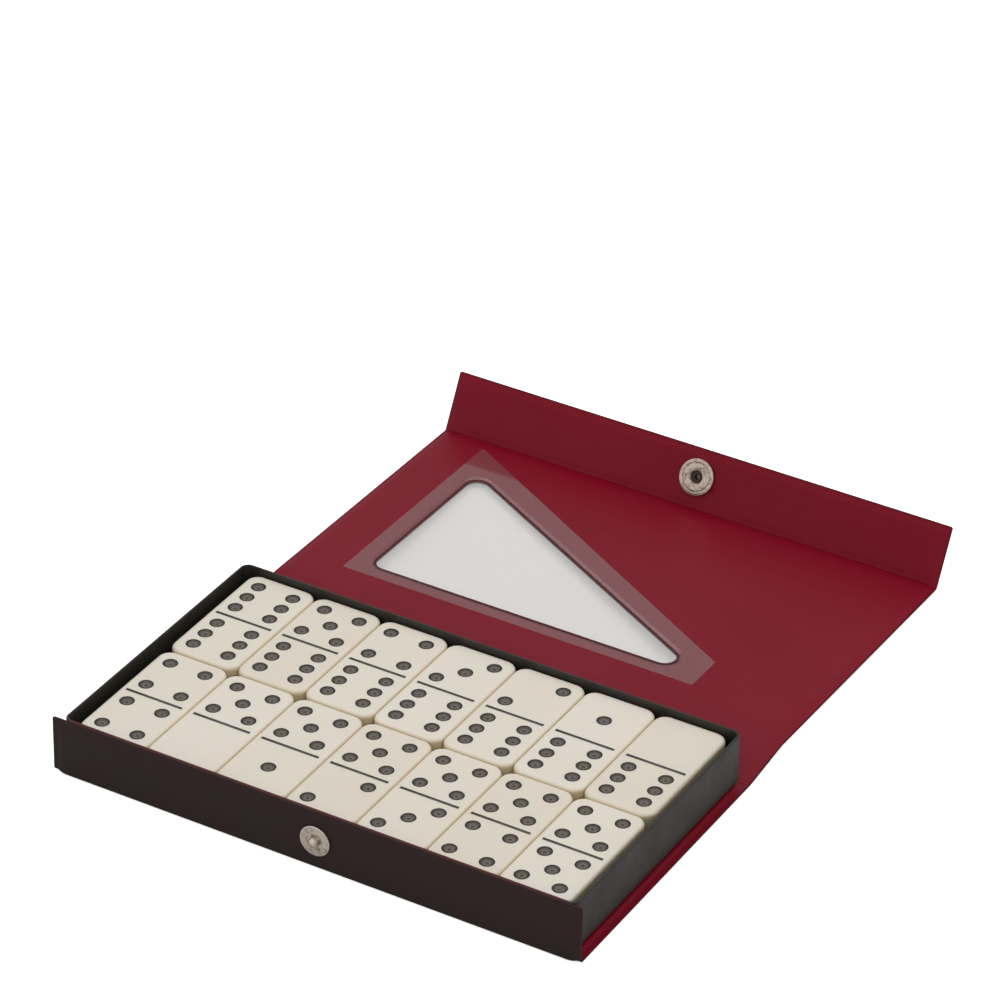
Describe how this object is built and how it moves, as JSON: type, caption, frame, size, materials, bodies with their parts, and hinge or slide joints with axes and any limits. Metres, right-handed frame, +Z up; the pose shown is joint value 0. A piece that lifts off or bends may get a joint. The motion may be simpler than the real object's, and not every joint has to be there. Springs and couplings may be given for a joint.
{
  "type": "domino storage box",
  "caption": "Folding vinyl wallet with a rigid tray of dominoes in two layers, a windowed lid and a flap that snaps shut on the front.",
  "frame": {"origin": "middle of the base panel's underside, level with the tray's middle", "axes": "+X right along the case, +Y from the front panel to the lid, +Z up"},
  "size_m": [0.1806, 0.2393, 0.0197],
  "materials": {
    "vinyl_black": "satin embossed vinyl",
    "vinyl_red": "satin embossed vinyl",
    "board": "plain greyboard",
    "clear_film": "clear gloss film",
    "tray_plastic": "semi-gloss formed sheet",
    "nickel": "nickel plated",
    "spring_steel": "bright wire",
    "tile_ivory": "polished moulded resin",
    "pip_paint": "black enamel in the recesses"
  },
  "bodies": {
    "base": {"base_cover": "vinyl_black", "base_board": "board", "front_board": "board", "base_lining": "vinyl_red", "tray": "tray_plastic", "snap_stud": "nickel", "stud_eyelet": "nickel"},
    "spine": {"spine_cover": "vinyl_black", "spine_board": "board", "spine_lining": "vinyl_red"},
    "lid": {"lid_cover": "vinyl_black", "lid_board": "board", "lid_lining": "vinyl_red", "window_film": "clear_film"},
    "flap": {"flap_cover": "vinyl_black", "flap_board": "board", "flap_lining": "vinyl_red", "snap_socket": "nickel", "socket_spring": "spring_steel", "snap_cap": "nickel"},
    "tile_3_0": {"tile_3_0": "tile_ivory"},
    "tile_2_2": {"tile_2_2": "tile_ivory"},
    "tile_2_1": {"tile_2_1": "tile_ivory"},
    "tile_2_0": {"tile_2_0": "tile_ivory"},
    "tile_1_1": {"tile_1_1": "tile_ivory"},
    "tile_1_0": {"tile_1_0": "tile_ivory"},
    "tile_0_0": {"tile_0_0": "tile_ivory"},
    "tile_4_3": {"tile_4_3": "tile_ivory"},
    "tile_4_2": {"tile_4_2": "tile_ivory"},
    "tile_4_1": {"tile_4_1": "tile_ivory"},
    "tile_4_0": {"tile_4_0": "tile_ivory"},
    "tile_3_3": {"tile_3_3": "tile_ivory"},
    "tile_3_2": {"tile_3_2": "tile_ivory"},
    "tile_3_1": {"tile_3_1": "tile_ivory"},
    "tile_4_4": {"tile_4_4": "tile_ivory"},
    "tile_5_0": {"tile_5_0": "tile_ivory"},
    "tile_5_1": {"tile_5_1": "tile_ivory"},
    "tile_5_2": {"tile_5_2": "tile_ivory"},
    "tile_5_3": {"tile_5_3": "tile_ivory"},
    "tile_5_4": {"tile_5_4": "tile_ivory"},
    "tile_5_5": {"tile_5_5": "tile_ivory"},
    "tile_6_6": {"tile_6_6": "tile_ivory"},
    "tile_6_5": {"tile_6_5": "tile_ivory"},
    "tile_6_4": {"tile_6_4": "tile_ivory"},
    "tile_6_3": {"tile_6_3": "tile_ivory"},
    "tile_6_2": {"tile_6_2": "tile_ivory"},
    "tile_6_1": {"tile_6_1": "tile_ivory"},
    "tile_6_0": {"tile_6_0": "tile_ivory"}
  },
  "joints": [
    {"name": "spine_fold", "type": "hinge", "parent": "base", "child": "spine", "pos_m": [0, 0.051, 0.0008], "axis": [-1, 0, 0], "range_deg": [-83, 0]},
    {"name": "lid_fold", "type": "hinge", "parent": "spine", "child": "lid", "pos_m": [0, 0.07105, 0.00326], "axis": [-1, 0, 0], "range_deg": [-98.35, 0]},
    {"name": "flap_fold", "type": "hinge", "parent": "lid", "child": "flap", "pos_m": [0, 0.17562, 0.0008], "axis": [-1, 0, 0], "range_deg": [-16, 64]},
    {"name": "tile_3_0_lift", "type": "slide", "parent": "base", "child": "tile_3_0", "axis": [0, 0, 1], "range_m": [0, 0.03]},
    {"name": "tile_2_2_lift", "type": "slide", "parent": "base", "child": "tile_2_2", "axis": [0, 0, 1], "range_m": [0, 0.03]},
    {"name": "tile_2_1_lift", "type": "slide", "parent": "base", "child": "tile_2_1", "axis": [0, 0, 1], "range_m": [0, 0.03]},
    {"name": "tile_2_0_lift", "type": "slide", "parent": "base", "child": "tile_2_0", "axis": [0, 0, 1], "range_m": [0, 0.03]},
    {"name": "tile_1_1_lift", "type": "slide", "parent": "base", "child": "tile_1_1", "axis": [0, 0, 1], "range_m": [0, 0.03]},
    {"name": "tile_1_0_lift", "type": "slide", "parent": "base", "child": "tile_1_0", "axis": [0, 0, 1], "range_m": [0, 0.03]},
    {"name": "tile_0_0_lift", "type": "slide", "parent": "base", "child": "tile_0_0", "axis": [0, 0, 1], "range_m": [0, 0.03]},
    {"name": "tile_4_3_lift", "type": "slide", "parent": "base", "child": "tile_4_3", "axis": [0, 0, 1], "range_m": [0, 0.03]},
    {"name": "tile_4_2_lift", "type": "slide", "parent": "base", "child": "tile_4_2", "axis": [0, 0, 1], "range_m": [0, 0.03]},
    {"name": "tile_4_1_lift", "type": "slide", "parent": "base", "child": "tile_4_1", "axis": [0, 0, 1], "range_m": [0, 0.03]},
    {"name": "tile_4_0_lift", "type": "slide", "parent": "base", "child": "tile_4_0", "axis": [0, 0, 1], "range_m": [0, 0.03]},
    {"name": "tile_3_3_lift", "type": "slide", "parent": "base", "child": "tile_3_3", "axis": [0, 0, 1], "range_m": [0, 0.03]},
    {"name": "tile_3_2_lift", "type": "slide", "parent": "base", "child": "tile_3_2", "axis": [0, 0, 1], "range_m": [0, 0.03]},
    {"name": "tile_3_1_lift", "type": "slide", "parent": "base", "child": "tile_3_1", "axis": [0, 0, 1], "range_m": [0, 0.03]},
    {"name": "tile_4_4_lift", "type": "slide", "parent": "tile_3_0", "child": "tile_4_4", "axis": [0, 0, 1], "range_m": [0, 0.03]},
    {"name": "tile_5_0_lift", "type": "slide", "parent": "tile_2_2", "child": "tile_5_0", "axis": [0, 0, 1], "range_m": [0, 0.03]},
    {"name": "tile_5_1_lift", "type": "slide", "parent": "tile_2_1", "child": "tile_5_1", "axis": [0, 0, 1], "range_m": [0, 0.03]},
    {"name": "tile_5_2_lift", "type": "slide", "parent": "tile_2_0", "child": "tile_5_2", "axis": [0, 0, 1], "range_m": [0, 0.03]},
    {"name": "tile_5_3_lift", "type": "slide", "parent": "tile_1_1", "child": "tile_5_3", "axis": [0, 0, 1], "range_m": [0, 0.03]},
    {"name": "tile_5_4_lift", "type": "slide", "parent": "tile_1_0", "child": "tile_5_4", "axis": [0, 0, 1], "range_m": [0, 0.03]},
    {"name": "tile_5_5_lift", "type": "slide", "parent": "tile_0_0", "child": "tile_5_5", "axis": [0, 0, 1], "range_m": [0, 0.03]},
    {"name": "tile_6_6_lift", "type": "slide", "parent": "tile_4_3", "child": "tile_6_6", "axis": [0, 0, 1], "range_m": [0, 0.03]},
    {"name": "tile_6_5_lift", "type": "slide", "parent": "tile_4_2", "child": "tile_6_5", "axis": [0, 0, 1], "range_m": [0, 0.03]},
    {"name": "tile_6_4_lift", "type": "slide", "parent": "tile_4_1", "child": "tile_6_4", "axis": [0, 0, 1], "range_m": [0, 0.03]},
    {"name": "tile_6_3_lift", "type": "slide", "parent": "tile_4_0", "child": "tile_6_3", "axis": [0, 0, 1], "range_m": [0, 0.03]},
    {"name": "tile_6_2_lift", "type": "slide", "parent": "tile_3_3", "child": "tile_6_2", "axis": [0, 0, 1], "range_m": [0, 0.03]},
    {"name": "tile_6_1_lift", "type": "slide", "parent": "tile_3_2", "child": "tile_6_1", "axis": [0, 0, 1], "range_m": [0, 0.03]},
    {"name": "tile_6_0_lift", "type": "slide", "parent": "tile_3_1", "child": "tile_6_0", "axis": [0, 0, 1], "range_m": [0, 0.03]}
  ]
}
